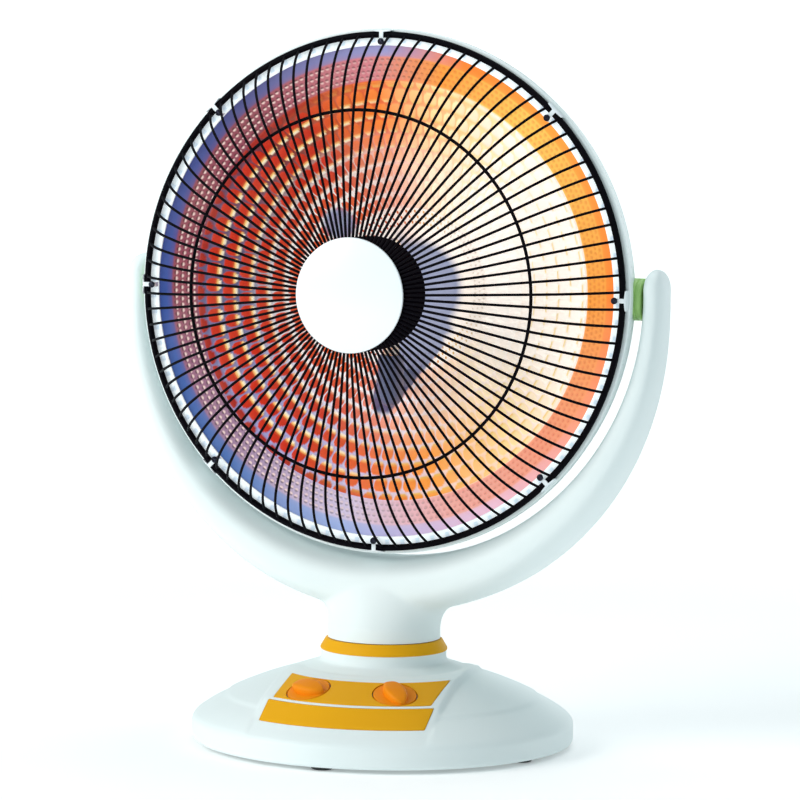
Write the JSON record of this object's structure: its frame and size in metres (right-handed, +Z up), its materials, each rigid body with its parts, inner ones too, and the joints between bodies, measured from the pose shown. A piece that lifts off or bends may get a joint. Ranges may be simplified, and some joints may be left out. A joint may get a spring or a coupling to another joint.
{
  "type": "dish halogen heater",
  "caption": "Dish halogen heater: a wire-guarded reflector head tilts in a ring yoke that swings on a round weighted base with two control knobs.",
  "frame": {"origin": "on the floor below the neck axis", "axes": "+Z up; the head faces -Y; +X to the right of someone facing the heater"},
  "size_m": [0.402, 0.268, 0.4993],
  "materials": {
    "white_plastic": "satin",
    "white_metal": "gloss enamel",
    "grey_plastic": "matte",
    "amber_plastic": "satin",
    "orange_plastic": "gloss",
    "green_plastic": "satin",
    "acetal": "matte",
    "black_wire": "gloss enamel",
    "dish_metal": "bright embossed",
    "ceramic": "matte ceramic",
    "quartz": "clear",
    "filament": "glowing",
    "black_plastic": "matte",
    "rubber": "matte",
    "cast_weight": "raw",
    "dark_screws": "blackened",
    "steel": "satin"
  },
  "bodies": {
    "root": {"base_cover": "white_plastic", "base_plate": "grey_plastic", "ballast_plate": "cast_weight", "rubber_feet": "rubber", "base_screws": "steel", "upper_panel": "amber_plastic", "lower_panel": "amber_plastic", "neck_ring": "amber_plastic", "swivel_bush": "acetal", "motor_bracket": "steel", "swing_motor": "steel", "motor_screws": "steel", "power_switch": "black_plastic", "timer_unit": "steel", "tip_switch_body": "black_plastic", "tip_spring": "steel", "terminal_block": "grey_plastic", "cord_inlet": "grey_plastic"},
    "tip_plunger": {"tip_plunger": "orange_plastic"},
    "power_knob": {"power_knob": "orange_plastic"},
    "timer_knob": {"timer_knob": "orange_plastic"},
    "motor_pinion": {"motor_pinion": "acetal"},
    "yoke": {"yoke_front_shell": "white_plastic", "yoke_rear_cover": "white_plastic", "yoke_screws": "steel", "swivel_spindle": "steel", "spindle_screws": "steel", "spindle_nut": "steel", "sector_gear": "acetal", "pivot_bush_left": "green_plastic", "pivot_bush_right": "green_plastic", "pivot_washer_left": "steel", "pivot_washer_right": "steel"},
    "head": {"rear_housing": "white_plastic", "front_rim": "white_plastic", "reflector": "dish_metal", "guard_ring": "black_wire", "guard_mid_ring": "black_wire", "guard_hub_ring": "black_wire", "guard_wires": "black_wire", "guard_clips": "white_metal", "guard_screws": "dark_screws", "hub_disc": "white_metal", "hub_shield_cup": "black_wire", "lamp_tube": "quartz", "lamp_filament": "filament", "lamp_holder": "ceramic", "lamp_bracket": "steel", "thermal_cutout": "steel", "pivot_boss_left": "green_plastic", "pivot_boss_right": "green_plastic", "pivot_axle_left": "steel", "pivot_axle_right": "steel", "pivot_nuts": "steel"}
  },
  "joints": [
    {"name": "yoke_swing", "type": "hinge", "parent": "root", "child": "yoke", "pos_m": [0, 0, 0.07], "axis": [0, 0, 1], "range_deg": [-28.5, 41.5]},
    {"name": "head_tilt", "type": "hinge", "parent": "yoke", "child": "head", "pos_m": [0, 0.007, 0.317], "axis": [1, 0, 0], "range_deg": [-25, 15]},
    {"name": "pinion_turn", "type": "hinge", "parent": "root", "child": "motor_pinion", "pos_m": [-0.00426, 0.03736, 0.036], "axis": [0, 0, 1], "range_deg": [-168, 116]},
    {"name": "power_turn", "type": "hinge", "parent": "root", "child": "power_knob", "pos_m": [-0.02148, -0.08307, 0.04672], "axis": [-0.0889, -0.3438, 0.9348], "range_deg": [0, 90]},
    {"name": "timer_turn", "type": "hinge", "parent": "root", "child": "timer_knob", "pos_m": [0.03962, -0.07611, 0.04672], "axis": [0.164, -0.315, 0.9348], "range_deg": [-270, 0]},
    {"name": "tip_travel", "type": "slide", "parent": "root", "child": "tip_plunger", "axis": [0, 0, -1], "range_m": [0, 0.006], "stiffness_N_per_m": 100, "springref_m": 0.009, "deforming": ["tip_spring"]}
  ],
  "couplings": [
    {"joint": "pinion_turn", "follows": "yoke_swing", "ratio": -4}
  ]
}
